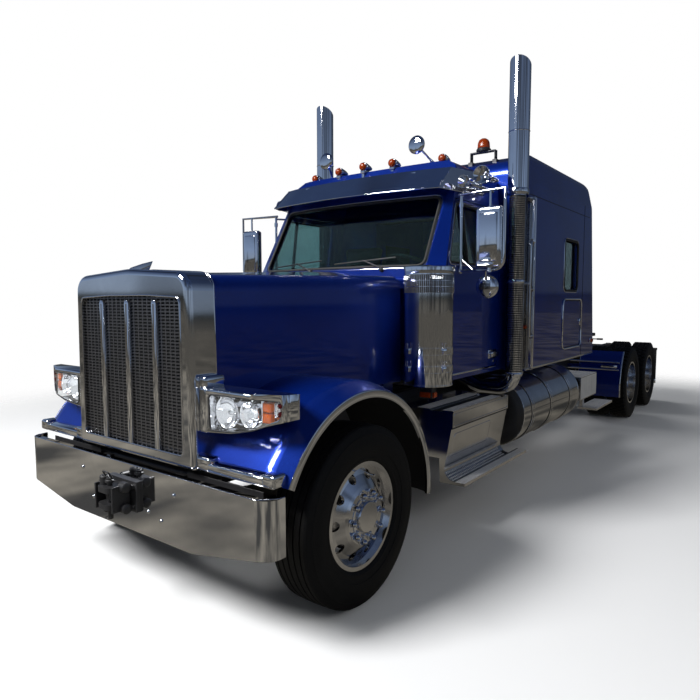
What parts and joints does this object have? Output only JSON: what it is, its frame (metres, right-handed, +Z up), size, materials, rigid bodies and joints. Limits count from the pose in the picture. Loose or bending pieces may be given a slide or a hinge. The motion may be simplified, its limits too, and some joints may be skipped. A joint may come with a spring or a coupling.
{
  "type": "semi truck tractor unit",
  "caption": "Long-nose highway tractor with sleeper, tilting hood, two doors, steered front wheels, tandem dual rear wheels and a tilting fifth wheel.",
  "frame": {"origin": "on the ground under the middle of the overall length, on the centre line", "axes": "+X to the vehicle's left, +Y to its rear, +Z up"},
  "size_m": [2.838, 10.162, 3.94],
  "materials": {
    "blue_paint": "metallic clear-coated gloss",
    "bright_chrome": "mirror bright",
    "polished_aluminium": "polished",
    "chassis_black": "satin black",
    "bare_iron": "rough cast",
    "tyre_rubber": "matt",
    "flap_rubber": "matt",
    "tinted_glass": "clear tinted",
    "amber_lens": "gloss",
    "seat_cover": "woven",
    "dash_plastic": "grained"
  },
  "bodies": {
    "chassis": {"frame_rails": "chassis_black", "front_bumper": "bright_chrome", "tow_hitch": "chassis_black", "radiator": "bare_iron", "engine_block": "bare_iron", "drive_shaft": "chassis_black", "front_axle": "chassis_black", "drive_axles": "chassis_black", "cab_shell": "blue_paint", "cab_floor": "blue_paint", "cab_roof": "blue_paint", "fixed_glass": "tinted_glass", "sun_visor": "bright_chrome", "marker_lamps": "amber_lens", "roof_fittings": "bright_chrome", "sleeper_shell": "blue_paint", "sleeper_roof": "blue_paint", "seats_and_bunk": "seat_cover", "dashboard": "dash_plastic", "air_cleaners": "bright_chrome", "exhaust_stacks": "bright_chrome", "fuel_tanks": "polished_aluminium", "access_steps": "polished_aluminium", "quarter_fenders": "blue_paint", "mudflaps": "flap_rubber", "fifth_wheel_base": "chassis_black"},
    "hood": {"hood": "blue_paint", "front_fenders": "blue_paint", "grille_surround": "bright_chrome", "grille": "chassis_black", "headlamps": "bright_chrome"},
    "door_left": {"door_left": "blue_paint", "door_glass_left": "tinted_glass", "mirror_left": "bright_chrome"},
    "door_right": {"door_right": "blue_paint", "door_glass_right": "tinted_glass", "mirror_right": "bright_chrome"},
    "knuckle_left": {"knuckle_left": "bare_iron"},
    "knuckle_right": {"knuckle_right": "bare_iron"},
    "tie_rod": {"tie_rod": "bare_iron"},
    "steering_wheel": {"steering_wheel": "dash_plastic"},
    "fifth_wheel_plate": {"fifth_wheel_plate": "chassis_black"},
    "wheel_front_left": {"tyre_front_left": "tyre_rubber", "rim_front_left": "polished_aluminium"},
    "wheel_front_right": {"tyre_front_right": "tyre_rubber", "rim_front_right": "polished_aluminium"},
    "wheels_mid_left": {"tyres_mid_left": "tyre_rubber", "rims_mid_left": "polished_aluminium"},
    "wheels_mid_right": {"tyres_mid_right": "tyre_rubber", "rims_mid_right": "polished_aluminium"},
    "wheels_rear_left": {"tyres_rear_left": "tyre_rubber", "rims_rear_left": "polished_aluminium"},
    "wheels_rear_right": {"tyres_rear_right": "tyre_rubber", "rims_rear_right": "polished_aluminium"}
  },
  "joints": [
    {"name": "hood_tilt", "type": "hinge", "parent": "chassis", "child": "hood", "pos_m": [0, -4.841, 0.9], "axis": [1, 0, 0], "range_deg": [0, 80]},
    {"name": "door_left_swing", "type": "hinge", "parent": "chassis", "child": "door_left", "pos_m": [1.014, -2.761, 1.212], "axis": [0, 0, -1], "range_deg": [0, 65]},
    {"name": "door_right_swing", "type": "hinge", "parent": "chassis", "child": "door_right", "pos_m": [-1.014, -2.761, 1.212], "axis": [0, 0, 1], "range_deg": [0, 65]},
    {"name": "steer_left", "type": "hinge", "parent": "chassis", "child": "knuckle_left", "pos_m": [0.9, -4.129, 0.5415], "axis": [0, 0, 1], "range_deg": [-35, 35]},
    {"name": "steer_right", "type": "hinge", "parent": "chassis", "child": "knuckle_right", "pos_m": [-0.9, -4.129, 0.5415], "axis": [0, 0, 1], "range_deg": [-35, 35]},
    {"name": "tie_rod_swing", "type": "hinge", "parent": "knuckle_left", "child": "tie_rod", "pos_m": [0.9, -3.929, 0.392], "axis": [0, 0, 1], "range_deg": [-35, 35]},
    {"name": "steering_wheel_turn", "type": "hinge", "parent": "chassis", "child": "steering_wheel", "pos_m": [0.5, -2.509, 2.068], "axis": [0, 0.5, 0.866], "range_deg": [-560, 560]},
    {"name": "fifth_wheel_tilt", "type": "hinge", "parent": "chassis", "child": "fifth_wheel_plate", "pos_m": [0, 3.471, 1.165], "axis": [1, 0, 0], "range_deg": [-12, 12]},
    {"name": "wheel_front_left_spin", "type": "hinge", "parent": "knuckle_left", "child": "wheel_front_left", "pos_m": [1.075, -4.129, 0.5415], "axis": [1, 0, 0], "continuous": true},
    {"name": "wheel_front_right_spin", "type": "hinge", "parent": "knuckle_right", "child": "wheel_front_right", "pos_m": [-1.075, -4.129, 0.5415], "axis": [1, 0, 0], "continuous": true},
    {"name": "wheels_mid_left_spin", "type": "hinge", "parent": "chassis", "child": "wheels_mid_left", "pos_m": [0.9085, 2.9655, 0.5415], "axis": [1, 0, 0], "continuous": true},
    {"name": "wheels_mid_right_spin", "type": "hinge", "parent": "chassis", "child": "wheels_mid_right", "pos_m": [-0.9085, 2.9655, 0.5415], "axis": [1, 0, 0], "continuous": true},
    {"name": "wheels_rear_left_spin", "type": "hinge", "parent": "chassis", "child": "wheels_rear_left", "pos_m": [0.9085, 4.3065, 0.5415], "axis": [1, 0, 0], "continuous": true},
    {"name": "wheels_rear_right_spin", "type": "hinge", "parent": "chassis", "child": "wheels_rear_right", "pos_m": [-0.9085, 4.3065, 0.5415], "axis": [1, 0, 0], "continuous": true}
  ],
  "couplings": [
    {"joint": "steer_right", "follows": "steer_left", "ratio": 1},
    {"joint": "tie_rod_swing", "follows": "steer_left", "ratio": -1},
    {"joint": "steering_wheel_turn", "follows": "steer_left", "ratio": 16}
  ]
}
